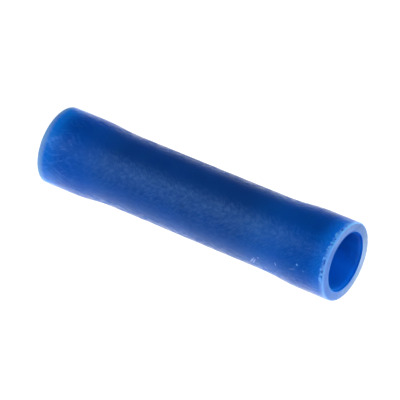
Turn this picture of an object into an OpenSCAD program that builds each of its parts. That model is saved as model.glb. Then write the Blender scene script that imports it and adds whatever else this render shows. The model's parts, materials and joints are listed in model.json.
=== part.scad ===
// Insulated butt splice connector for joining two wires end to end.
// A crimp barrel of tinned copper sits in the middle of a vinyl sleeve whose two ends are belled out.
// The connector stands on one end: Z is the axis and the origin is the centre of the lower rim.

/* [Sleeve] */
// Length of the sleeve over both ends
sleeve_length = 26; // [20:0.5:40]
// Wall of the sleeve between its bells
sleeve_wall = 0.91; // [0.5:0.01:1.4]
// Inside diameter of the bells, which take the insulation of the wires
bell_bore = 4.55; // [4.1:0.05:6]
// Straight length of each bell, measured from its end
bell_length = 2.5; // [1:0.1:5]
// Length of the blend between a bell and the tube
blend_length = 3.8; // [1:0.1:6]
// Rounding of the outer edge of each end
rim_radius = 0.12; // [0.05:0.01:0.3]
// Chamfer of the inner edge of each end
rim_chamfer = 0.08; // [0.02:0.01:0.2]

/* [Barrel] */
// Length of the barrel
barrel_length = 15; // [10:0.5:18]
// Bore that takes the bare conductor
wire_bore = 2.3; // [1.9:0.05:2.5]
// Wall of the barrel
barrel_wall = 0.8; // [0.5:0.02:1]
// Chamfer that leads the strands into the bore
lead_chamfer = 0.3; // [0.1:0.05:0.4]
// Chamfer of the outer edge of each barrel end
edge_chamfer = 0.1; // [0.05:0.01:0.2]
// Radial gap between the barrel and the sleeve
press_gap = 0.02; // [0.01:0.01:0.05]

/* [Wire stop] */
// Diameter that the rolled stop leaves open in the middle of the barrel
stop_opening = 1.1; // [0.9:0.05:1.6]
// Radius of the roller that forms the stop from outside
roller_radius = 0.7; // [0.6:0.05:1]

/* [Grip and seam] */
// Distance between the serrations in the bore
serration_pitch = 1.5; // [0.8:0.1:2.5]
// Width of a serration at the wall of the bore
serration_width = 0.3; // [0.15:0.05:0.45]
// Depth of a serration
serration_depth = 0.12; // [0.05:0.01:0.2]
// Gap left where the edges of the rolled strip meet
seam_gap = 0.08; // [0.04:0.01:0.15]
// Depth of the vee that the strip's rounded edges leave outside
seam_vee = 0.15; // [0.05:0.01:0.3]

/* [Hidden] */
$fn = 96;

wire_radius = wire_bore / 2;
barrel_radius = wire_radius + barrel_wall;
tube_bore_radius = barrel_radius + press_gap;
tube_radius = tube_bore_radius + sleeve_wall;
bell_bore_radius = bell_bore / 2;
// A bell is drawn out of the tube, so its thinner wall keeps the tube's cross-section
bell_radius = sqrt(pow(bell_bore_radius, 2) + pow(tube_radius, 2) - pow(tube_bore_radius, 2));

stop_radius = stop_opening / 2;
bead_radius = roller_radius + barrel_wall;
bead_centre = stop_radius + bead_radius;
// Half the length that the stop takes from the wall of the bore
bead_half_length = sqrt(pow(bead_radius, 2) - pow(bead_centre - wire_radius, 2));
// Clear bore between the lead-in chamfer and the stop
grip_length = barrel_length / 2 - lead_chamfer - bead_half_length;
serration_count = max(0, floor(grip_length / serration_pitch) - 1);

// Puts a profile at the lower end of a length and its mirror image at the upper end
module both_ends(length) {
    children();
    translate([0, length]) mirror([0, 1]) children();
}

// Lower half of the area inside a waisted tube wall, above its mouth.
// Two equal arcs blend the mouth into the waist, tangent to both and to each other.
module waist_half(mouth_radius, waist_radius) {
    rise = mouth_radius - waist_radius;
    arc_radius = (pow(blend_length, 2) + pow(rise, 2)) / (4 * rise);
    half_blend = blend_length / 2;
    blend_end = bell_length + blend_length;
    translate([0, bell_length]) square([waist_radius, half_blend]);
    intersection() {
        translate([0, bell_length]) square([mouth_radius + rise, half_blend]);
        translate([mouth_radius - arc_radius, bell_length]) circle(arc_radius);
    }
    difference() {
        translate([0, bell_length + half_blend]) square([mouth_radius, half_blend]);
        translate([waist_radius + arc_radius, blend_end]) circle(arc_radius);
    }
    translate([0, blend_end]) square([waist_radius, sleeve_length / 2 - blend_end]);
}

// Area inside the outer surface of the sleeve's lower half, with a rounded rim
module outer_half() {
    shoulder = bell_radius - rim_radius;
    square([shoulder, rim_radius]);
    intersection() {
        translate([shoulder, -rim_radius]) square(2 * rim_radius);
        translate([shoulder, rim_radius]) circle(rim_radius);
    }
    translate([0, rim_radius]) square([bell_radius, bell_length - rim_radius]);
    waist_half(bell_radius, tube_radius);
}

// Area inside the bore of the sleeve's lower half, with a chamfered mouth
module bore_half() {
    polygon([
        [0, 0],
        [bell_bore_radius + rim_chamfer, 0],
        [bell_bore_radius, rim_chamfer],
        [bell_bore_radius, bell_length],
        [0, bell_length]
    ]);
    waist_half(bell_bore_radius, tube_bore_radius);
}

module insulating_sleeve() {
    color([0.03, 0.2, 0.55])
    rotate_extrude()
    difference() {
        both_ends(sleeve_length) outer_half();
        both_ends(sleeve_length) bore_half();
    }
}

// Section of the barrel's wall with its chamfered ends
module barrel_wall_section() {
    polygon([
        [wire_radius, lead_chamfer],
        [wire_radius + lead_chamfer, 0],
        [barrel_radius - edge_chamfer, 0],
        [barrel_radius, edge_chamfer],
        [barrel_radius, barrel_length - edge_chamfer],
        [barrel_radius - edge_chamfer, barrel_length],
        [wire_radius + lead_chamfer, barrel_length],
        [wire_radius, barrel_length - lead_chamfer]
    ]);
}

// Vee grooves in the lower half of the bore, which grip the strands when the barrel is crimped
module serrations() {
    // Each vee starts inside the bore, so that it opens cleanly through the wall
    for (i = [1:1:serration_count])
        translate([wire_radius, lead_chamfer + i * serration_pitch])
        polygon([
            [-serration_depth, -serration_width],
            [serration_depth, 0],
            [-serration_depth, serration_width]
        ]);
}

// Narrow cut along the barrel where the strip's edges butt, opening into a vee outside
module seam() {
    linear_extrude(barrel_length)
    polygon([
        [0, -seam_gap / 2],
        [barrel_radius - seam_vee, -seam_gap / 2],
        [barrel_radius + seam_vee, -seam_gap / 2 - 2 * seam_vee],
        [barrel_radius + seam_vee, seam_gap / 2 + 2 * seam_vee],
        [barrel_radius - seam_vee, seam_gap / 2],
        [0, seam_gap / 2]
    ]);
}

module crimp_barrel() {
    color([0.78, 0.78, 0.76])
    translate([0, 0, (sleeve_length - barrel_length) / 2])
    difference() {
        rotate_extrude()
        difference() {
            union() {
                barrel_wall_section();
                intersection() {
                    translate([0, barrel_length / 2 - bead_radius])
                    square([wire_radius + barrel_wall / 2, 2 * bead_radius]);
                    translate([bead_centre, barrel_length / 2]) circle(bead_radius);
                }
            }
            translate([bead_centre, barrel_length / 2]) circle(roller_radius);
            both_ends(barrel_length) serrations();
        }
        seam();
    }
}

insulating_sleeve();
crimp_barrel();
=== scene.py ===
import json
import math

import bpy
from mathutils import Matrix, Vector, noise


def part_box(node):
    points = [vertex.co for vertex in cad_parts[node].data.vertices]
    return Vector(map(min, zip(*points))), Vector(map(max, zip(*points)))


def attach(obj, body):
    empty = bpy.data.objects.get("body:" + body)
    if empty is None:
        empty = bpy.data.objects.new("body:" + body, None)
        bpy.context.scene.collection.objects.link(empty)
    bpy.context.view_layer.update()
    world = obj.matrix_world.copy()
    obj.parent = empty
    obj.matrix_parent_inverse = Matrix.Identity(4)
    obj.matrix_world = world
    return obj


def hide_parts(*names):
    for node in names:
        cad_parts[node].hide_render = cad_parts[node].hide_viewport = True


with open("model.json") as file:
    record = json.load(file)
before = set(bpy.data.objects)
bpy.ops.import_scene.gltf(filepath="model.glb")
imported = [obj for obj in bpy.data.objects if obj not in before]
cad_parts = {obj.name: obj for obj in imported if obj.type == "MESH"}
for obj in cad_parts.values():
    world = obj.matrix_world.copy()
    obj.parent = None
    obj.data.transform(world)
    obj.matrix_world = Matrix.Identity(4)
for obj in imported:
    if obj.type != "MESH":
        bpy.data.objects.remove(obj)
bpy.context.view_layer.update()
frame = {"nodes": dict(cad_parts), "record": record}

MM = 0.001

# Sizes of the sleeve, measured on its solid

SLEEVE = frame["nodes"]["insulating_sleeve"]
BARREL = frame["nodes"]["crimp_barrel"]
MOUNTS = {mount["name"]: mount for mount in frame["record"]["mounts"]}
MEASURE_SLACK = 0.004 * MM


def measure_sleeve():
    """Radii and lengths of the sleeve's wall, read from the points of its solid."""
    low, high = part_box("insulating_sleeve")
    length = high.z - low.z
    bell = (high.x - low.x + high.y - low.y) / 4
    mouth = MOUNTS["insulation_entry_top"]["dims"]["r_mm"] * MM
    rings = [(math.hypot(v.co.x, v.co.y), v.co.z) for v in SLEEVE.data.vertices]
    outer = [(r, z) for r, z in rings if r > (bell + mouth) / 2 and z < length / 2]
    tube = min(r for r, z in outer)
    on_end = [r for r, z in rings if z < low.z + MEASURE_SLACK]
    return {
        "length": length,
        "bell": bell,
        "mouth": mouth,
        "tube": tube,
        "tube_bore": min(r for r, z in rings),
        "rim": bell - max(on_end),
        "chamfer": min(on_end) - mouth,
        "bell_end": max(z for r, z in outer if r > bell - MEASURE_SLACK),
        "blend_end": max(z for r, z in outer if r < tube + MEASURE_SLACK),
    }


SIZE = measure_sleeve()
LENGTH = SIZE["length"]
MIDDLE = Vector((0, 0, LENGTH / 2))
BARREL_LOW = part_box("crimp_barrel")[0]

# How finely the sleeve is meshed, and the material slots of its mesh

SEGMENTS = 384
RING_STEP = 0.2 * MM
RIM_STEPS = 6
FACE_STEPS = 5
LIP_STRIP = 0.02 * MM
WALL, CUT, BORE = range(3)

# How uneven its surface is. Scales of noises are per millimetre, here and in the materials

BOW = 0.014 * MM
WAVE_DEPTH = 0.016 * MM
WAVE_SCALE_AROUND = 0.5
WAVE_SCALE_ALONG = 0.9
NICK_DEPTH = 0.05 * MM
NICK_SCALE = 3.1
NICK_LIMIT = 0.1
UPPER_NICKS_SHIFT = 9


def blend_drop(rise, along):
    """How far the wall has come in, a given way along the two tangent arcs from bell to tube."""
    span = SIZE["blend_end"] - SIZE["bell_end"]
    radius = (span ** 2 + rise ** 2) / (4 * rise)
    if along < span / 2:
        return radius - math.sqrt(radius ** 2 - along ** 2)
    return rise - radius + math.sqrt(radius ** 2 - (span - along) ** 2)


def wall_radius(mouth, waist, z):
    """Radius of the wall at a height, from the radii of its bells and its waist."""
    from_end = min(z, LENGTH - z)
    if from_end <= SIZE["bell_end"]:
        return mouth
    if from_end >= SIZE["blend_end"]:
        return waist
    return mouth - blend_drop(mouth - waist, from_end - SIZE["bell_end"])


def steps(start, stop, count):
    """Evenly spaced values from start to stop, both included."""
    return [start + (stop - start) * i / count for i in range(count + 1)]


def sleeve_profile():
    """Closed outline of the wall's section, from the lower rim upwards.

    Each point is (radius, height, material slot of the face that starts there).
    """
    rim, chamfer = SIZE["rim"], SIZE["chamfer"]
    count = round(LENGTH / RING_STEP)
    shoulder = SIZE["bell"] - rim
    outer = [(wall_radius(SIZE["bell"], SIZE["tube"], z), z, WALL) for z in steps(rim, LENGTH - rim, count)]
    quarter = steps(0, math.pi / 2, RIM_STEPS)[1:-1]
    top_rim = [(shoulder + rim * math.cos(a), LENGTH - rim + rim * math.sin(a), WALL) for a in quarter]
    low_rim = [(r, LENGTH - z, slot) for r, z, slot in reversed(top_rim)]
    lip = SIZE["mouth"] + chamfer
    face = steps(shoulder, lip + LIP_STRIP, FACE_STEPS)
    top_face = [(r, LENGTH, CUT) for r in face] + [(lip, LENGTH, BORE)]
    low_face = [(r, 0.0, CUT) for r in [lip] + face[::-1]]
    low_face[-1] = (shoulder, 0.0, WALL)
    bore = [
        (wall_radius(SIZE["mouth"], SIZE["tube_bore"], z), z, BORE)
        for z in steps(LENGTH - chamfer, chamfer, count // 2)
    ]
    return outer + top_rim + top_face + bore + low_face + low_rim


def outer_point(r, z, angle):
    """A point of the outer surface: the tube is not quite straight or even, and its rims are nicked."""
    around = Vector((math.cos(angle), math.sin(angle), 0))
    turn = around * SIZE["bell"] / MM
    waist_share = (SIZE["bell"] - r) / (SIZE["bell"] - SIZE["tube"])
    wave = noise.noise(turn * WAVE_SCALE_AROUND + Vector((0, 0, z / MM * WAVE_SCALE_ALONG)))
    depth = WAVE_DEPTH * (0.5 + 0.5 * wave)
    from_end = min(z, LENGTH - z)
    on_rim = max(0.0, 1 - from_end / SIZE["rim"])
    if on_rim > 0:
        waist_share = 0
        shift = Vector((0, 0, UPPER_NICKS_SHIFT * (z > LENGTH / 2)))
        nick = noise.noise(turn * NICK_SCALE + shift)
        depth += NICK_DEPTH * on_rim * max(0.0, nick - NICK_LIMIT)
    bow = -BOW * waist_share * math.sin(2 * math.pi * z / LENGTH)
    return around * (r - depth) + Vector((bow, 0, z))


def build_sleeve():
    """Fine mesh of the sleeve, with a material slot each for its wall, its cut ends and its bore."""
    profile = sleeve_profile()
    points = []
    for r, z, slot in profile:
        for s in range(SEGMENTS):
            angle = 2 * math.pi * s / SEGMENTS
            if slot == WALL:
                points.append(outer_point(r, z, angle))
            else:
                points.append(Vector((r * math.cos(angle), r * math.sin(angle), z)))
    faces = []
    slots = []
    for ring, point in enumerate(profile):
        here = ring * SEGMENTS
        there = (ring + 1) % len(profile) * SEGMENTS
        slots += [point[2]] * SEGMENTS
        for s in range(SEGMENTS):
            after = (s + 1) % SEGMENTS
            faces.append((here + s, here + after, there + after, there + s))
    mesh = bpy.data.meshes.new("vinyl_sleeve")
    mesh.from_pydata(points, [], faces)
    mesh.polygons.foreach_set("material_index", slots)
    mesh.polygons.foreach_set("use_smooth", [True] * len(faces))
    piece = bpy.data.objects.new("vinyl_sleeve", mesh)
    bpy.context.scene.collection.objects.link(piece)
    return piece


# Node helpers


class Graph:
    """Short ways of adding nodes to one tree. An argument is a socket to link or a plain value."""

    def __init__(self, tree):
        self.tree = tree

    def feed(self, socket, value):
        if isinstance(value, bpy.types.NodeSocket):
            self.tree.links.new(value, socket)
        else:
            socket.default_value = value

    def fill(self, node, inputs):
        """Feeds several inputs of a node, by name or number."""
        for name, value in inputs.items():
            self.feed(node.inputs[name], value)

    def node(self, kind, inputs=None, **settings):
        made = self.tree.nodes.new(kind)
        for name, value in settings.items():
            setattr(made, name, value)
        self.fill(made, inputs or {})
        return made

    def math(self, operation, a, b=0.0):
        return self.node("ShaderNodeMath", {0: a, 1: b}, operation=operation).outputs[0]

    def plus(self, a, b):
        return self.math("ADD", a, b)

    def times(self, a, b):
        return self.math("MULTIPLY", a, b)

    def off(self, value, middle):
        """How far a value is from a middle, to either side."""
        return self.math("ABSOLUTE", self.math("SUBTRACT", value, middle))

    def place(self, scale=(1, 1, 1)):
        """Object coordinates in millimetres, times a scale for each axis."""
        at = self.node("ShaderNodeTexCoord").outputs["Object"]
        per_mm = tuple(factor / MM for factor in scale)
        return self.node("ShaderNodeMapping", {"Vector": at, "Scale": per_mm}).outputs["Vector"]

    def axes(self):
        """Object coordinates in millimetres, as one socket for each axis."""
        return tuple(self.node("ShaderNodeSeparateXYZ", {0: self.place()}).outputs)

    def vector(self, x, y, z):
        return self.node("ShaderNodeCombineXYZ", {0: x, 1: y, 2: z}).outputs[0]

    def noise(self, vector, scale, detail=3.0, roughness=0.5):
        inputs = {"Vector": vector, "Scale": scale, "Detail": detail, "Roughness": roughness}
        return self.node("ShaderNodeTexNoise", inputs).outputs["Fac"]

    def spread(self, value, low, high, to_low=0.0, to_high=1.0):
        """Takes low..high smoothly to to_low..to_high."""
        inputs = {
            "Value": value,
            "From Min": low,
            "From Max": high,
            "To Min": to_low,
            "To Max": to_high,
        }
        made = self.node("ShaderNodeMapRange", inputs, interpolation_type="SMOOTHSTEP")
        return made.outputs["Result"]

    def mix(self, factor, a, b, blend_type="MIX"):
        inputs = {"Factor": factor, "A": a, "B": b}
        made = self.node("ShaderNodeMix", inputs, data_type="RGBA", blend_type=blend_type)
        return made.outputs["Result"]

    def tone(self, colour, level):
        """A colour times a number."""
        return self.mix(1.0, colour, level, "MULTIPLY")

    def between(self, factor, a, b):
        """A number part of the way from a to b."""
        made = self.node("ShaderNodeMix", {0: factor, 2: a, 3: b}, data_type="FLOAT")
        return made.outputs[0]

    def bump(self, height, distance, normal=None):
        inputs = {"Height": height, "Distance": distance}
        if normal is not None:
            inputs["Normal"] = normal
        return self.node("ShaderNodeBump", inputs).outputs["Normal"]


def new_material(name):
    """A material with a Principled shader, and the graph to add to it."""
    material = bpy.data.materials.new(name)
    material.use_nodes = True
    return material, Graph(material.node_tree), material.node_tree.nodes["Principled BSDF"]


def grey(level):
    """A colour that is the same in red, green and blue."""
    return (level, level, level, 1)


# Colours are linear

WAIST_BLUE = (0.004, 0.066, 0.340, 1)
DEEP_BLUE = (0.003, 0.060, 0.305, 1)
# Painted light on the bells: lighter where no barrel lies behind the wall, the lower one more than the upper
LOWER_BELL = (0.001, 0.100, 0.505, 1)
UPPER_BELL = (0.001, 0.095, 0.44, 1)
# Painted shade: the upper bell darker at its mouth, which the lamps light more
UPPER_MOUTH = (0.001, 0.087, 0.405, 1)
# Painted glow of the cut ends
PAINTED_GLOW_BLUE = (0.003, 0.25, 0.94, 1)
# Painted light along the rounded edges of the ends
PAINTED_EDGE_BLUE = (0.17, 0.46, 1.0, 1)
PAINTED_LIT_EDGE = (0.155, 0.31, 0.66, 1)
PAINTED_FAR_EDGE = (0.25, 0.46, 0.80, 1)
SCUFF_BLUE = (0.19, 0.49, 0.86, 1)
FLANK_SCUFF = (0.36, 0.50, 0.86, 1)
CUT_BLUE = (0.080, 0.220, 0.65, 1)
PALE_CUT = (0.34, 0.50, 0.78, 1)
DARK_LIP = (0.001, 0.040, 0.33, 1)
LIP_BLUE = (0.075, 0.27, 0.78, 1)
LIP_HIGHLIGHT = (0.40, 0.66, 1.0, 1)
# Painted shadow of the nicks at the upper rim
DASH_SHADOW_BLUE = (0.008, 0.10, 0.48, 1)
FLECK_BLUE = (0.13, 0.45, 0.90, 1)
DARK_SPOT_BLUE = (0.002, 0.04, 0.2, 1)
BORE_BLUE = (0.002, 0.200, 0.86, 1)
DEEP_BORE = (0.001, 0.115, 0.56, 1)
SHADE_BORE = (0.001, 0.055, 0.35, 1)
GLOSS_TINT = (0.23, 0.52, 1.0, 1)
TIN = (0.72, 0.71, 0.69, 1)
DULL_TIN = (0.55, 0.54, 0.52, 1)

# How far light wanders in the vinyl, for red, green and blue, and how much of it does

WANDER = (0.15, 0.55, 1.0)
WAIST_WANDER = 1.0 * MM
BELL_WANDER = 4.0 * MM
BORE_WANDER = 0.25 * MM
WALL_SOFTNESS = 0.9
CUT_SOFTNESS = 0.4
BORE_SOFTNESS = 0.9

# The sleeve in millimetres, as the materials use it, and directions across its axis in degrees from +X

HALF = LENGTH / 2 / MM
BELL_RADIUS = SIZE["bell"] / MM
TUBE_RADIUS = SIZE["tube"] / MM
MOUTH_RADIUS = SIZE["mouth"] / MM
BELL_END = SIZE["bell_end"] / MM
BLEND_END = SIZE["blend_end"] / MM
BARREL_START = BARREL_LOW.z / MM
LAMP_SIDE = 0
FRONT = -90

# In the values below, lengths are in millimetres unless they say MM, and a range may be followed by what it
# becomes, as Graph.spread takes them. Noises lie about 0.5, mostly within NOISE_SPAN

NOISE_MEAN = 0.5
NOISE_SPAN = (0.3, 0.7)


def soften(graph, shader, weight, wander):
    """Lets light into the vinyl."""
    shader.inputs["Subsurface Weight"].default_value = weight
    shader.inputs["Subsurface Radius"].default_value = WANDER
    graph.feed(shader.inputs["Subsurface Scale"], wander)


def end_distance(graph):
    """Distance from the nearer end of the sleeve."""
    return graph.math("SUBTRACT", HALF, graph.off(graph.axes()[2], HALF))


def axis_distance(graph):
    """Distance from the axis."""
    x, y = graph.axes()[:2]
    return graph.math("SQRT", graph.plus(graph.times(x, x), graph.times(y, y)))


def toward(graph, degrees):
    """Distance from the axis in one direction across it."""
    x, y = graph.axes()[:2]
    turn = math.radians(degrees)
    return graph.plus(graph.times(x, math.cos(turn)), graph.times(y, math.sin(turn)))


def turned_from_front(graph):
    """Angle round the axis from the front towards +X, in radians."""
    x, y = graph.axes()[:2]
    return graph.math("ARCTAN2", x, graph.times(y, -1.0))


def leaned(graph, along, around, degrees):
    """Distances along and across a stroke that leans, from those along the axis and round it."""
    turn = math.radians(degrees)
    with_stroke = graph.plus(graph.times(along, math.cos(turn)), graph.times(around, math.sin(turn)))
    off_stroke = graph.math(
        "SUBTRACT",
        graph.times(around, math.cos(turn)),
        graph.times(along, math.sin(turn)),
    )
    return with_stroke, off_stroke


# Where the vinyl changes. BELL_START and BELL_STOP are for the lower and the upper end, the others are ranges
# along the sleeve and across it

UPPER_CHANGE = (0.8 * HALF, 1.2 * HALF)
BELL_START = (1.0, 4.3)
BELL_STOP = (BARREL_START + 2.3, BARREL_START + 3.5)
ENDS = (1.0, BLEND_END)
FLANKS = (2.2, 2.75)


def upper_share(graph):
    """0 in the lower part of the sleeve, 1 in the upper part, changing about its middle."""
    return graph.spread(graph.axes()[2], *UPPER_CHANGE)


def bell_share(graph):
    """1 at the ends, falling to 0 over the barrel, which keeps light from coming through the wall."""
    upper = upper_share(graph)
    start = graph.between(upper, *BELL_START)
    stop = graph.between(upper, *BELL_STOP)
    return graph.spread(end_distance(graph), start, stop, 1, 0)


def ends_share(graph):
    """1 at the sleeve's ends, falling to 0 where the tube between the bells starts."""
    return graph.spread(end_distance(graph), *ENDS, 1, 0)


def flank_share(graph):
    """1 on the two flanks, towards +X and -X, and 0 between them."""
    return graph.spread(graph.math("ABSOLUTE", toward(graph, LAMP_SIDE)), *FLANKS)


def by_place(graph, waist, lower, upper):
    """A value that differs between the waist, the lower bell and the upper bell."""
    return graph.between(ends_share(graph), waist, graph.between(upper_share(graph), lower, upper))


# Fine wrinkles that drawing left in the vinyl: chevrons that stray a little, in stronger and weaker patches

WRINKLE_SCALE = 3.6
WRINKLE_STRETCH = 1.7
WRINKLE_LEAN = 0.9
WRINKLE_ROUGHNESS = 0.4
STRAY_SCALE = 1.2
STRAY = 0.45
PATCH_SCALE = 0.9
PATCH_STRENGTH = (0.38, 0.6, 0.55, 1)


def wrinkles(graph):
    """Height of the wrinkles, from 0 to 1: short strokes that lean away from the front and the back."""
    x, y, z = graph.axes()
    aside = graph.times(graph.math("ABSOLUTE", turned_from_front(graph)), TUBE_RADIUS * WRINKLE_LEAN)
    strayed = graph.times(graph.noise(graph.place(), STRAY_SCALE, detail=1), STRAY)
    leaning = graph.plus(graph.plus(z, aside), strayed)
    at = graph.vector(x, y, graph.times(leaning, WRINKLE_STRETCH))
    strokes = graph.noise(at, WRINKLE_SCALE, detail=1, roughness=WRINKLE_ROUGHNESS)
    patches = graph.spread(graph.noise(graph.place(), PATCH_SCALE, detail=1), *PATCH_STRENGTH)
    return graph.between(patches, NOISE_MEAN, strokes)


# Scratches on the lower bell, in two directions: leans in degrees

SCRATCH_LEANS = (-24, 30)
SCRATCH_STRETCH = 0.2
SCRATCH_SCALE = 3.8
SCRATCH_SPAN = (0.54, 0.68)
SCRATCH_REACH = (2.4, 4.2, 1, 0)
SCRATCH_FRONT = (-0.5, 1.8, 0.2, 1.0)


def scratches(graph):
    """Strength of thin long strokes that cross each other at the lower end, most of them at its front."""
    along = graph.axes()[2]
    around = graph.times(turned_from_front(graph), BELL_RADIUS)
    lines = 0.0
    for lean in SCRATCH_LEANS:
        with_stroke, off_stroke = leaned(graph, along, around, lean)
        at = graph.vector(graph.times(with_stroke, SCRATCH_STRETCH), off_stroke, lean)
        strokes = graph.noise(at, SCRATCH_SCALE, detail=1)
        lines = graph.math("MAXIMUM", lines, graph.spread(strokes, *SCRATCH_SPAN))
    near_end = graph.times(lines, graph.spread(end_distance(graph), *SCRATCH_REACH))
    front = graph.spread(toward(graph, FRONT), *SCRATCH_FRONT)
    return graph.times(graph.between(upper_share(graph), front, 0.0), near_end)


# Scuffs: height, angle from +X and lean in degrees, half length and half width, strength

SCUFFS = (
    (19.55, -30, -58, 0.52, 0.07, 0.8),
    (19.72, -29, -62, 0.46, 0.06, 0.7),
    (20.16, -41, 20, 0.09, 0.08, 0.6),
    (21.78, -45, 60, 0.16, 0.07, 0.6),
    (23.68, -60, 0, 0.09, 0.09, 0.95),
    (23.28, -50, -22, 0.34, 0.05, 0.3),
    (24.26, -54, 0, 0.1, 0.06, 0.3),
)
DARK_SPOT = (13.15, -75, 25, 0.2, 0.12, 0.75)
SCUFF_FADE = 1.4
SCUFF_GRAIN_SCALE = 9.0
SCUFF_GRAIN = (0.3, 0.55, 0.5, 1.0)
SCUFF_CHANGE = (1.75, 2.15)


def scuff(graph, height, angle, lean, half_length, half_width, strength):
    """Strength of a small mark that something scraped into the wall, 0 elsewhere."""
    along = graph.math("SUBTRACT", graph.axes()[2], height)
    turned = graph.math("SUBTRACT", turned_from_front(graph), math.radians(angle - FRONT))
    with_stroke, off_stroke = leaned(graph, along, graph.times(turned, TUBE_RADIUS), lean)
    u = graph.times(with_stroke, 1 / half_length)
    v = graph.times(off_stroke, 1 / half_width)
    distance = graph.plus(graph.times(u, u), graph.times(v, v))
    return graph.spread(distance, 0.0, SCUFF_FADE, strength, 0)


def scuffs(graph):
    """All the scuffs together, broken up by a fine noise."""
    marks = 0.0
    for values in SCUFFS:
        marks = graph.math("MAXIMUM", scuff(graph, *values), marks)
    return graph.times(marks, graph.spread(graph.noise(graph.place(), SCUFF_GRAIN_SCALE), *SCUFF_GRAIN))


# Marks beside the upper end: dashes of painted shadow from its nicks, and lighter flecks. Distance from it,
# half width, and scale of the noise that breaks them up

SHADOW_DASHES = (0.17, 0.08, 4.2)
FLECKS = (0.27, 0.16, 5.6)
RIM_MARK_STRETCH = 0.4
RIM_MARK_SPAN = (0.5, 0.6)
RIM_MARK_SIDE = -95
RIM_MARK_REACH = (1.4, 2.6)


def rim_marks(graph, middle, half_width, scale):
    """A row of marks along the upper end, most of them at the front, for the painted shadow dashes and the
    flecks.
    """
    band = graph.spread(graph.off(end_distance(graph), middle), half_width / 2, half_width, 1, 0)
    broken = graph.noise(graph.place((1, 1, RIM_MARK_STRETCH)), scale, detail=1)
    at_front = graph.spread(toward(graph, RIM_MARK_SIDE), *RIM_MARK_REACH, 0, upper_share(graph))
    return graph.times(at_front, graph.times(band, graph.spread(broken, *RIM_MARK_SPAN)))


# Painted light in the vinyl at its ends. GLOW_STRENGTH and GLOW_REACH are for the lower and the upper end,
# and the ranges go from -X to +X

GLOW_STRENGTH = (0.85, 0.6)
GLOW_REACH = (2.2, 1.8)
GLOW_SIDES = (-2.6, 2.6, 1.2, 0.8)
LOWER_EDGE_REACH = (-2.0, 0.5, 0.5, 0.68)
UPPER_EDGE_REACH = (-1.5, 2.0, 0.4, 0.5)
EDGE_CHANGE = (-2.4, 2.4)
LAMP_SIDE_SHADE = (-3.0, 3.0, 1.0, 0.86)

# Share of its reach over which the edge's painted light fades, and the place, width and depth of the painted
# shaded strip

EDGE_FADE = (0.2, 1.0, 0.85, 0)
STRIP_PLACE = -1.9
STRIP_WIDTH = (0.2, 1.2)
STRIP_SHADE = (0.5, 1.6, 1.0, 0.86)


def painted_end_glow(graph):
    """Painted glow of the light the cut ends pass along the wall: more at the lower end, and less towards +X.
    """
    upper = upper_share(graph)
    sides = graph.spread(toward(graph, LAMP_SIDE), *GLOW_SIDES)
    strength = graph.times(graph.between(upper, *GLOW_STRENGTH), sides)
    return graph.spread(end_distance(graph), 0.0, graph.between(upper, *GLOW_REACH), strength, 0)


def painted_edge_light(graph):
    """Painted light that the rounded edge of each end catches, further along the wall towards +X."""
    aside = toward(graph, LAMP_SIDE)
    lower = graph.spread(aside, *LOWER_EDGE_REACH)
    upper = graph.spread(aside, *UPPER_EDGE_REACH)
    reach = graph.between(upper_share(graph), lower, upper)
    return graph.spread(graph.math("DIVIDE", end_distance(graph), reach), *EDGE_FADE)


def painted_bell_shade(graph):
    """Painted shade: less colour on the bells towards the side lamp, whose light comes through, and in a
    shaded strip.
    """
    aside = toward(graph, LAMP_SIDE)
    from_end = end_distance(graph)
    bells = graph.spread(from_end, BELL_END, BLEND_END, 1, 0)
    deepest = graph.spread(from_end, *STRIP_SHADE)
    strip = graph.spread(graph.off(aside, STRIP_PLACE), *STRIP_WIDTH, deepest, 1.0)
    return graph.between(bells, 1.0, graph.times(strip, graph.spread(aside, *LAMP_SIDE_SHADE)))


# Colour of the wall. Threes are for the waist, the lower bell and the upper bell, as in its relief and gloss

MOTTLE_SCALE = 0.45
WAIST_SHADE = (6.0, 18.0, 1.06, 0.94)
UPPER_MOUTH_REACH = (2.0, 5.0)
CREASE_SHADE_SPAN = (0.35, 0.65)
CREASE_SHADES = (0.01, 0.03, 0.06)
SCRATCH_TONE = 1.1


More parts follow.
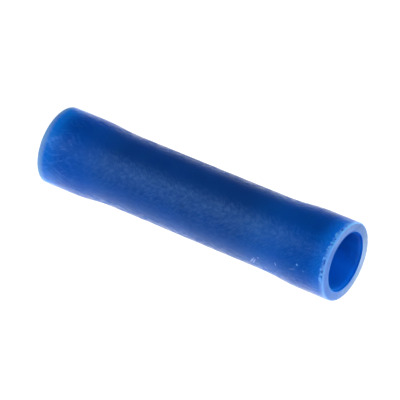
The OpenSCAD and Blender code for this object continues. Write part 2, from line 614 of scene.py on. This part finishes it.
def vinyl_colour(graph, creases, scratched):
    """Blue, painted lighter where no barrel lies behind and glowing at the cut ends, with painted light and
    shade and all the marks.
    """
    upper = upper_share(graph)
    aside = toward(graph, LAMP_SIDE)
    mottle = graph.noise(graph.place(), MOTTLE_SCALE, detail=2)
    colour = graph.mix(graph.spread(mottle, *NOISE_SPAN), DEEP_BLUE, WAIST_BLUE)
    # Painted shade: the waist lighter low down and darker high up, evening out its light
    colour = graph.tone(colour, graph.spread(graph.axes()[2], *WAIST_SHADE))
    # Painted light: the bells lighter than the waist, the upper one darker towards its mouth
    upper_bell = graph.mix(graph.spread(end_distance(graph), *UPPER_MOUTH_REACH), UPPER_MOUTH, UPPER_BELL)
    colour = graph.mix(bell_share(graph), colour, graph.mix(upper, LOWER_BELL, upper_bell))
    # Painted glow at the cut ends
    colour = graph.mix(painted_end_glow(graph), colour, PAINTED_GLOW_BLUE)
    # Painted shade on the bells towards the side lamp and in a strip
    colour = graph.tone(colour, painted_bell_shade(graph))
    # Painted shade in the wrinkles' hollows and painted light on their crests
    crease_shade = by_place(graph, *CREASE_SHADES)
    painted_crease_shade = graph.spread(creases, *CREASE_SHADE_SPAN, graph.math("SUBTRACT", 1.0, crease_shade), graph.plus(1.0, crease_shade))
    colour = graph.tone(colour, painted_crease_shade)
    colour = graph.tone(colour, graph.between(scratched, 1.0, SCRATCH_TONE))
    # Painted light on the rounded edges of the ends
    painted_near_edge = graph.mix(graph.spread(aside, *EDGE_CHANGE), PAINTED_EDGE_BLUE, PAINTED_LIT_EDGE)
    colour = graph.mix(painted_edge_light(graph), colour, graph.mix(upper, PAINTED_FAR_EDGE, painted_near_edge))
    # Painted shadows of the nicks along the upper rim, and lighter flecks
    colour = graph.mix(rim_marks(graph, *SHADOW_DASHES), colour, DASH_SHADOW_BLUE)
    colour = graph.mix(rim_marks(graph, *FLECKS), colour, FLECK_BLUE)
    # A small dark spot on the waist
    colour = graph.mix(scuff(graph, *DARK_SPOT), colour, DARK_SPOT_BLUE)
    scuff_colour = graph.mix(graph.spread(aside, *SCUFF_CHANGE), SCUFF_BLUE, FLANK_SCUFF)
    return graph.mix(scuffs(graph), colour, scuff_colour)


# Roughness of the wall. SMOOTH and RUB_DULL are for the waist and the bells

SMOOTH = (0.34, 0.31)
WRINKLE_DULL = 0.02
RUB_SCALE = 2.6
RUB_STRETCH = 0.7
RUB_SPAN = (0.42, 0.6)
RUB_DULL = (0.22, 0.044)


def vinyl_roughness(graph, creases):
    """Satin, a little uneven with the wrinkles, and rubbed dull in patches on the flanks."""
    ends = ends_share(graph)
    wrinkled = graph.spread(creases, *NOISE_SPAN, -WRINKLE_DULL, WRINKLE_DULL)
    patches = graph.noise(graph.place((1, 1, RUB_STRETCH)), RUB_SCALE, detail=1)
    dulled = graph.spread(patches, *RUB_SPAN, 0, graph.between(ends, *RUB_DULL))
    satin = graph.plus(graph.between(ends, *SMOOTH), wrinkled)
    return graph.plus(satin, graph.times(flank_share(graph), dulled))


# Relief of the wall: grain all over, deeper on the flanks, which also have dents, and the wrinkles

GRAIN_SCALE = 5.0
GRAIN_STRETCH = 0.45
GRAIN_DEPTH = 0.008 * MM
FLANK_DEPTH = 0.03 * MM
DENT_SCALE = 2.2
DENT_STRETCH = 0.6
DENT_DEPTH = 0.045 * MM
WRINKLE_DEPTHS = (0.010 * MM, 0.005 * MM, 0.008 * MM)


def vinyl_normal(graph, creases, grain, dents):
    """Dents, grain and wrinkles, one on the other."""
    flanks = flank_share(graph)
    dented = graph.bump(dents, graph.between(flanks, 0.0, DENT_DEPTH))
    grained = graph.bump(grain, graph.between(flanks, GRAIN_DEPTH, FLANK_DEPTH), dented)
    return graph.bump(creases, by_place(graph, *WRINKLE_DEPTHS), grained)


# Gloss of the wall. The wrinkles and the grain show in it between the two ends of the haze, from -X to +X.
# The bells are dull in two strips: place across the axis, half widths of the dullest part and of all, and
# the share of gloss left

GLOSS = (1.2, 0.33, 0.4)
CREASE_SPAN = (0.36, 0.64)
CREASE_DULL = (0.68, 0.75, 0.48)
CREASE_BRIGHT = (1.38, 1.3, 1.75)
GRAIN_GLOSS = (0.35, 0.65, 0.75, 1.25)
HAZE_START = (-1.6, -0.6)
HAZE_STOP = (1.0, 1.9, 1.0, 0.45)
BLOTCH_SPAN = (0.36, 0.64)
BLOTCH_DULL = 0.62
BLOTCH_BRIGHT = 1.4
LOWER_GLOSS = (1.4, 3.2, 2.7, 0.7)
UPPER_GLOSS = (0.4, 1.8, 1.3, 1.0)
SCRATCH_GLOSS = 2.8
DULL_STRIPS = ((-1.0, 0.3, 1.0, 0.45), (1.0, 0.2, 0.9, 0.6))
LIT_FLANK_GLOSS = (1.5, 2.3, 1.0, 1.6)


def bell_gloss(graph):
    """Share of their gloss that the bells keep: least in two strips along them, most on the flank at +X."""
    aside = toward(graph, LAMP_SIDE)
    gloss = graph.spread(aside, *LIT_FLANK_GLOSS)
    for place, dullest, edge, least in DULL_STRIPS:
        gloss = graph.times(gloss, graph.spread(graph.off(aside, place), dullest, edge, least, 1.0))
    return gloss


def vinyl_gloss(graph, creases, grain, dents, scratched):
    """How strongly the wall mirrors: wrinkled in the haze, blotched on the flanks, scratched at one end."""
    aside = toward(graph, LAMP_SIDE)
    from_end = end_distance(graph)
    flanks = flank_share(graph)
    dull = by_place(graph, *CREASE_DULL)
    bright = by_place(graph, *CREASE_BRIGHT)
    wrinkled = graph.spread(creases, *CREASE_SPAN, dull, bright)
    grained = graph.times(wrinkled, graph.spread(grain, *GRAIN_GLOSS))
    hazy = graph.times(graph.spread(aside, *HAZE_START), graph.spread(aside, *HAZE_STOP))
    dulled = graph.between(flanks, 1.0, BLOTCH_DULL)
    brightened = graph.between(flanks, 1.0, BLOTCH_BRIGHT)
    gloss = by_place(graph, *GLOSS)
    for factor in (
        graph.between(hazy, 1.0, grained),
        graph.spread(dents, *BLOTCH_SPAN, dulled, brightened),
        by_place(graph, 1.0, graph.spread(from_end, *LOWER_GLOSS), graph.spread(from_end, *UPPER_GLOSS)),
        graph.between(scratched, 1.0, SCRATCH_GLOSS),
        graph.between(ends_share(graph), 1.0, bell_gloss(graph)),
    ):
        gloss = graph.times(gloss, factor)
    return gloss


# Near the cut ends light wanders less far in the wall

END_WANDER = (0.0, 1.6, 0.2, 1)


def vinyl_material():
    """Satin vinyl with fine wrinkles."""
    material, graph, shader = new_material("blue_vinyl")
    creases = wrinkles(graph)
    grain = graph.noise(graph.place((1, 1, GRAIN_STRETCH)), GRAIN_SCALE, detail=2)
    dents = graph.noise(graph.place((1, 1, DENT_STRETCH)), DENT_SCALE, detail=1)
    scratched = scratches(graph)
    graph.fill(shader, {
        "Base Color": vinyl_colour(graph, creases, scratched),
        "Roughness": vinyl_roughness(graph, creases),
        "Normal": vinyl_normal(graph, creases, grain, dents),
        "Specular IOR Level": vinyl_gloss(graph, creases, grain, dents, scratched),
        "Specular Tint": GLOSS_TINT,
    })
    wander = graph.between(bell_share(graph), WAIST_WANDER, BELL_WANDER)
    wander = graph.times(wander, graph.spread(end_distance(graph), *END_WANDER))
    soften(graph, shader, WALL_SOFTNESS, wander)
    return material


# The cut ends. A side is a direction in degrees, and a reach is how far out that way a change lies

KNIFE_STRETCH = (0.4, 5, 1)
KNIFE_SCALE = 1.6
KNIFE_TONES = (0.88, 1.08)
KNIFE_DEPTH = 0.02 * MM
CUT_CLOUD_SCALE = 1.1
CUT_CLOUD = 0.7
CUT_ROUGHNESS = (0.5, 0.62)
PALE_SIDE = 95
PALE_REACH = (-1.0, 4.0)
PALE_CORNER_SIDE = -140
PALE_CORNER_REACH = (1.9, 2.6, 0, 0.25)
LIP_HIGHLIGHT_SIDE = 115
LIP_HIGHLIGHT_REACH = (1.9, 2.4)
LIP_WIDTH = 0.33
LIP_STRENGTH = 0.9
LIP_SHADE_SIDE = -128
LIP_SHADE_REACH = (1.5, 2.1, 0, 0.95)
LIP_SHADE_START = 0.08
LIP_SHADE_STOP = 0.24
SHADE_SIDE = 165
SHADE_REACH = (1.6, 2.8, 1.0, 0.84)
CUT_GLOSS = 0.4
LIP_SHADE_GLOSS = 0.1


def cut_material():
    """The pale matte face that the knife left, with fine marks, painted paler towards +Y, a bright lip with a
    painted highlight, and painted shade.
    """
    material, graph, shader = new_material("cut_vinyl")
    marks = graph.noise(graph.place(KNIFE_STRETCH), KNIFE_SCALE, detail=3, roughness=0.6)
    cloud = graph.noise(graph.place(), CUT_CLOUD_SCALE, detail=2)
    from_mouth = graph.math("SUBTRACT", axis_distance(graph), MOUTH_RADIUS)
    wisps = graph.spread(cloud, *NOISE_SPAN, -CUT_CLOUD, CUT_CLOUD)
    # Painted light: the face paler towards +Y, for the light it catches there
    clouded = graph.plus(toward(graph, PALE_SIDE), wisps)
    pale_corner = graph.spread(toward(graph, PALE_CORNER_SIDE), *PALE_CORNER_REACH)
    pale = graph.math("MAXIMUM", graph.spread(clouded, *PALE_REACH), pale_corner)
    colour = graph.mix(pale, CUT_BLUE, PALE_CUT)
    # Painted highlight on the lip towards +Y
    lip_colour = graph.mix(graph.spread(toward(graph, LIP_HIGHLIGHT_SIDE), *LIP_HIGHLIGHT_REACH), LIP_BLUE, LIP_HIGHLIGHT)
    colour = graph.mix(graph.spread(from_mouth, 0, LIP_WIDTH, LIP_STRENGTH, 0), colour, lip_colour)
    # Painted shade on the lip's inner edge towards the front, which also mirrors less
    lip_shade_side = graph.spread(toward(graph, LIP_SHADE_SIDE), *LIP_SHADE_REACH)
    lip_shade = graph.spread(from_mouth, LIP_SHADE_START, LIP_SHADE_STOP, lip_shade_side, 0)
    colour = graph.mix(lip_shade, colour, DARK_LIP)
    colour = graph.tone(colour, graph.spread(marks, *NOISE_SPAN, *KNIFE_TONES))
    colour = graph.tone(colour, graph.spread(toward(graph, SHADE_SIDE), *SHADE_REACH))
    graph.fill(shader, {
        "Base Color": colour,
        "Roughness": graph.spread(cloud, *NOISE_SPAN, *CUT_ROUGHNESS),
        "Normal": graph.bump(marks, KNIFE_DEPTH),
        "Specular IOR Level": graph.between(lip_shade, CUT_GLOSS, LIP_SHADE_GLOSS),
    })
    soften(graph, shader, CUT_SOFTNESS, WAIST_WANDER)
    return material


# The bore, with sides and ranges as above

LINE_STRETCH = (4, 4, 0.3)
LINE_SCALE = 1.5
LINE_DEPTH = 0.01 * MM
BORE_ROUGHNESS = (0.4, 0.5)
BORE_CLOUD_SCALE = 0.7
BORE_CLOUD = 0.5
DEEP_SIDE = 145
DEEP_REACH = (0.3, 2.5)
BORE_SHADE_SIDE = 165
BORE_SHADE_REACH = (1.7, 2.3)
BORE_LIP = (0.06, 0.2, 0.55, 0)
BORE_GLOSS = (0.09, 0.25, 0.0, 0.12)


def bore_material():
    """The smooth inside of the sleeve, with faint draw lines along it and painted shade on one side and at
    its lip.
    """
    material, graph, shader = new_material("vinyl_bore")
    lines = graph.noise(graph.place(LINE_STRETCH), LINE_SCALE, detail=2)
    cloud = graph.noise(graph.place(), BORE_CLOUD_SCALE, detail=2)
    wisps = graph.spread(cloud, *NOISE_SPAN, -BORE_CLOUD, BORE_CLOUD)
    # Painted shade: the bore darker towards 145 degrees, broken by wisps
    clouded = graph.plus(toward(graph, DEEP_SIDE), wisps)
    colour = graph.mix(graph.spread(clouded, *DEEP_REACH), BORE_BLUE, DEEP_BORE)
    # Painted shade towards 165 degrees and at the lip
    shaded_side = graph.spread(toward(graph, BORE_SHADE_SIDE), *BORE_SHADE_REACH)
    lip = graph.spread(end_distance(graph), *BORE_LIP)
    colour = graph.mix(graph.math("MAXIMUM", shaded_side, lip), colour, SHADE_BORE)
    graph.fill(shader, {
        "Base Color": colour,
        "Roughness": graph.spread(lines, *NOISE_SPAN, *BORE_ROUGHNESS),
        "Normal": graph.bump(lines, LINE_DEPTH),
        "Specular IOR Level": graph.spread(end_distance(graph), *BORE_GLOSS),
    })
    soften(graph, shader, BORE_SOFTNESS, BORE_WANDER)
    return material


# The barrel

DRAW_STRETCH = (6, 6, 0.35)
DRAW_SCALE = 2.2
DRAW_DEPTH = 0.006 * MM
TIN_CLOUD_SCALE = 0.8
TIN_CLOUD_SPAN = (0.4, 0.7)
TIN_ROUGHNESS = (0.22, 0.42)


def tin_material():
    """Bright tin plating with draw marks along the barrel and a few dull clouds."""
    material, graph, shader = new_material("tinned_copper")
    draw = graph.noise(graph.place(DRAW_STRETCH), DRAW_SCALE, detail=3, roughness=0.6)
    cloud = graph.noise(graph.place(), TIN_CLOUD_SCALE, detail=3)
    graph.fill(shader, {
        "Base Color": graph.mix(graph.spread(cloud, *TIN_CLOUD_SPAN), TIN, DULL_TIN),
        "Roughness": graph.spread(cloud, *NOISE_SPAN, *TIN_ROUGHNESS),
        "Normal": graph.bump(draw, DRAW_DEPTH),
        "Metallic": 1.0,
    })
    return material


# The object

sleeve = build_sleeve()
for material in (vinyl_material(), cut_material(), bore_material()):
    sleeve.data.materials.append(material)
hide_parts("insulating_sleeve")
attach(sleeve, "root")

BARREL.data.materials.clear()
BARREL.data.materials.append(tin_material())

# Stage: a white floor that keeps a soft shadow, and a white surround

FLOOR_HALF = 600 * MM
FLOOR_GLOW = 0.85
FLOOR_SHADE = 0.28
FLOOR_LIGHT = 0.5
AMBIENT = 0.18


def background_rays(graph):
    """1 for the rays that show the background: straight from the camera, mirrored or passed through."""
    path = graph.node("ShaderNodeLightPath").outputs
    seen = graph.math("MAXIMUM", path["Is Camera Ray"], path["Is Glossy Ray"])
    return graph.math("MAXIMUM", seen, path["Is Transmission Ray"])


def glowing_material(name):
    """An empty material whose glow isn't sampled as a lamp, its graph and its surface socket."""
    material, graph, shader = new_material(name)
    material.cycles.emission_sampling = "NONE"
    graph.tree.nodes.remove(shader)
    return material, graph, graph.tree.nodes["Material Output"].inputs["Surface"]


def floor_material():
    """White to the eye, though lit by the lamps so that shadows show. It lights the object evenly."""
    material, graph, surface = glowing_material("floor")
    lit = graph.node("ShaderNodeEmission", {"Strength": FLOOR_LIGHT}).outputs[0]
    shade = graph.node("ShaderNodeBsdfDiffuse", {"Color": grey(FLOOR_SHADE)}).outputs[0]
    glow = graph.node("ShaderNodeEmission", {"Strength": FLOOR_GLOW}).outputs[0]
    shown = graph.node("ShaderNodeAddShader", {0: shade, 1: glow}).outputs[0]
    mixed = graph.node("ShaderNodeMixShader", {0: background_rays(graph), 1: lit, 2: shown})
    graph.feed(surface, mixed.outputs[0])
    return material


def build_floor():
    mesh = bpy.data.meshes.new("floor")
    h = FLOOR_HALF
    mesh.from_pydata([(-h, -h, 0), (h, -h, 0), (h, h, 0), (-h, h, 0)], [], [(0, 1, 2, 3)])
    mesh.materials.append(floor_material())
    floor = bpy.data.objects.new("floor", mesh)
    bpy.context.scene.collection.objects.link(floor)


def build_world():
    world = bpy.data.worlds.new("surround")
    bpy.context.scene.world = world
    world.use_nodes = True
    graph = Graph(world.node_tree)
    level = graph.spread(background_rays(graph), 0, 1, AMBIENT, 1.0)
    graph.fill(world.node_tree.nodes["Background"], {"Color": grey(1), "Strength": level})


build_floor()
build_world()

# Lamps: name, place and width in millimetres, radiance of the lamp's face

LAMPS = (
    ("lamp_side", (260, 40, 50), 220, 4.7),
    ("lamp_front", (190, -240, 50), 220, 2.3),
    ("lamp_back", (-225, 140, 90), 200, 3.8),
    ("lamp_above", (0, -130, 300), 260, 3.0),
)


def area_lamp(name, place, size, radiance):
    """A square soft lamp that faces the object's middle."""
    lamp = bpy.data.lights.new(name, "AREA")
    lamp.size = size
    lamp.energy = radiance * math.pi * size ** 2
    made = bpy.data.objects.new(name, lamp)
    made.location = place
    made.rotation_euler = (place - MIDDLE).to_track_quat("Z", "Y").to_euler()
    bpy.context.scene.collection.objects.link(made)


for name, place, width, radiance in LAMPS:
    area_lamp(name, Vector(place) * MM, width * MM, radiance)

# A card round the connector that only mirrored rays meet: it shapes the reflections on the sleeve as flags
# in a studio do. Its brightness goes by the direction that a viewer in front sees mirrored in the tube, in
# degrees from the front towards -X

CARD_LEVELS = (
    (-170, 1.3),
    (-155, 1.9),
    (-117, 1.0),
    (-89, 0.55),
    (-60, 0.26),
    (-41, 0.32),
    (-20, 0.74),
    (-5, 0.9),
    (12, 0.9),
    (31, 0.25),
    (48, 0.0),
    (115, 0.0),
    (128, 0.35),
    (144, 1.0),
    (160, 1.9),
    (172, 1.3),
)
CARD_BACK = 1.0
CARD_STEPS = 96
CARD_FOOT = SIZE["bell"]
CARD_RADIUS = 9 * MM
CARD_LIFT = 0.05 * MM
CARD_TOP = LENGTH + 20 * MM
MIRROR_STEPS = 3


def mirror_angle(graph):
    """Direction of the mirrored ray that meets the card at a point.

    The card is near the sleeve, so that this is not the point's own angle: a few steps close in on it.
    """
    angle = graph.times(turned_from_front(graph), -1.0)
    nearness = graph.math("DIVIDE", TUBE_RADIUS, axis_distance(graph))
    mirrored = angle
    for _ in range(MIRROR_STEPS):
        sideways = graph.times(nearness, graph.math("SINE", graph.times(mirrored, 0.5)))
        mirrored = graph.plus(angle, graph.math("ARCSINE", sideways))
    return mirrored


def card_material():
    """Dark and light round the connector."""
    material, graph, surface = glowing_material("card")
    share = graph.math("DIVIDE", graph.plus(mirror_angle(graph), math.pi), 2 * math.pi)
    ramp = graph.node("ShaderNodeValToRGB", {"Fac": share})
    stops = ramp.color_ramp.elements
    for stop in stops:
        stop.color = grey(CARD_BACK)
    for degrees, level in CARD_LEVELS:
        stops.new((degrees + 180) / 360).color = grey(level)
    glow = graph.node("ShaderNodeEmission", {"Color": ramp.outputs["Color"], "Strength": 1.0})
    graph.feed(surface, glow.outputs[0])
    return material


def build_card():
    turns = steps(0, 2 * math.pi, CARD_STEPS)[:-1]
    section = [(CARD_FOOT, CARD_LIFT), (CARD_RADIUS, CARD_LIFT), (CARD_RADIUS, CARD_TOP)]
    points = [(r * math.sin(a), r * math.cos(a), z) for a in turns for r, z in section]
    count = len(section)
    faces = []
    for i in range(CARD_STEPS):
        here = i * count
        there = (i + 1) % CARD_STEPS * count
        for j in range(count - 1):
            faces.append((here + j, here + j + 1, there + j + 1, there + j))
    mesh = bpy.data.meshes.new("card")
    mesh.from_pydata(points, [], faces)
    mesh.materials.append(card_material())
    card = bpy.data.objects.new("card", mesh)
    bpy.context.scene.collection.objects.link(card)
    card.visible_camera = False
    card.visible_diffuse = False
    card.visible_transmission = False
    card.visible_shadow = False


build_card()

# Camera, from the outline of the photograph

CAMERA_TURN = math.radians(22.35)
CAMERA_ELEVATION = math.radians(27.2)
CAMERA_DISTANCE = 263.4 * MM
CAMERA_SENSOR = 36
CAMERA_CLIP = (10 * MM, 5)
IMAGE_SIDE = 400
PIXELS_PER_MM = 13.31
MIDDLE_PIXEL = (200.15, 202.1)


def build_camera():
    """Looks along +Y and down, rolled so that the upright connector points right and down."""
    back = Vector((0, -math.cos(CAMERA_ELEVATION), math.sin(CAMERA_ELEVATION)))
    level = Vector((1, 0, 0))
    rise = back.cross(level)
    right = rise * math.cos(CAMERA_TURN) - level * math.sin(CAMERA_TURN)
    up = -level * math.cos(CAMERA_TURN) - rise * math.sin(CAMERA_TURN)
    aside = (MIDDLE_PIXEL[0] - IMAGE_SIDE / 2) / PIXELS_PER_MM * MM
    below = (MIDDLE_PIXEL[1] - IMAGE_SIDE / 2) / PIXELS_PER_MM * MM
    place = MIDDLE + back * CAMERA_DISTANCE - right * aside + up * below
    lens = bpy.data.cameras.new("camera")
    lens.sensor_width = CAMERA_SENSOR
    lens.lens = CAMERA_SENSOR * PIXELS_PER_MM * CAMERA_DISTANCE / MM / IMAGE_SIDE
    lens.clip_start, lens.clip_end = CAMERA_CLIP
    camera = bpy.data.objects.new("camera", lens)
    turned = Matrix((right, up, back)).transposed().to_4x4()
    camera.matrix_world = Matrix.Translation(place) @ turned
    bpy.context.scene.collection.objects.link(camera)
    bpy.context.scene.camera = camera


build_camera()
bpy.context.scene.view_settings.view_transform = "Standard"
